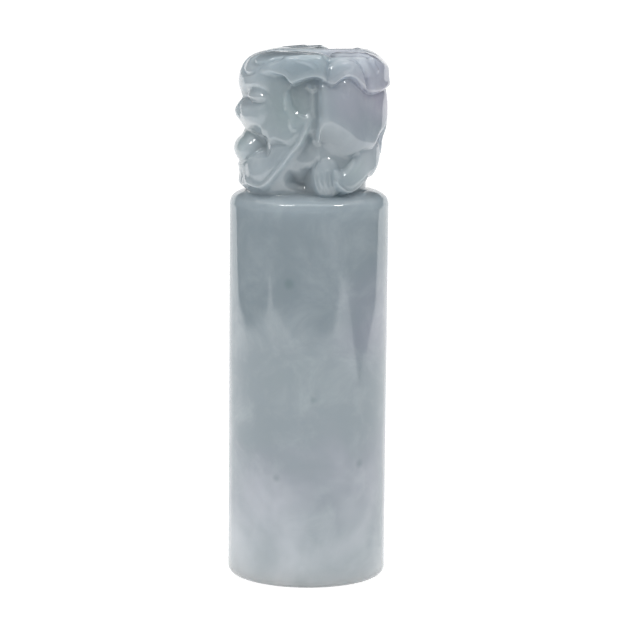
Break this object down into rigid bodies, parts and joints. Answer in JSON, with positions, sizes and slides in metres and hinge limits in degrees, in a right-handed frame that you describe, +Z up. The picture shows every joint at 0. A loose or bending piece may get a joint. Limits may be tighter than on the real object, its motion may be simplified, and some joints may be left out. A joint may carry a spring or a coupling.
{
  "type": "round jadeite seal stamp",
  "caption": "Round name seal cut from one stick of polished pale jadeite, with a blank stamping face below and a crouching beast carved within the stick's own radius at the top.",
  "frame": {"origin": "middle of the stamping face, which is the lowest point of the stick", "axes": "+Z up along the stick's axis from the stamping face to the carved knob, -X the way the carved beast faces, -Y its left flank"},
  "size_m": [0.018, 0.018, 0.06],
  "materials": {
    "polished_jadeite": "mirror-polished translucent jadeite, pale blue-grey with lavender and green-grey clouds",
    "ground_jadeite": "the same stone, finely ground flat and left matte for engraving"
  },
  "bodies": {
    "root": {"barrel": "polished_jadeite", "stamp_face": "ground_jadeite", "trunk": "polished_jadeite", "skull": "polished_jadeite", "snout": "polished_jadeite", "lower_jaw": "polished_jadeite", "tongue": "polished_jadeite", "mane_cap": "polished_jadeite", "mane_crest": "polished_jadeite", "tail": "polished_jadeite", "left_cheek": "polished_jadeite", "right_cheek": "polished_jadeite", "left_jowl": "polished_jadeite", "right_jowl": "polished_jadeite", "left_eye": "polished_jadeite", "right_eye": "polished_jadeite", "left_haunch": "polished_jadeite", "right_haunch": "polished_jadeite", "left_hind_leg": "polished_jadeite", "right_hind_leg": "polished_jadeite", "left_forepaw": "polished_jadeite", "right_forepaw": "polished_jadeite", "left_mane_locks": "polished_jadeite", "right_mane_locks": "polished_jadeite", "left_front_curl": "polished_jadeite", "right_front_curl": "polished_jadeite", "left_rear_curl": "polished_jadeite", "right_rear_curl": "polished_jadeite"}
  },
  "joints": []
}
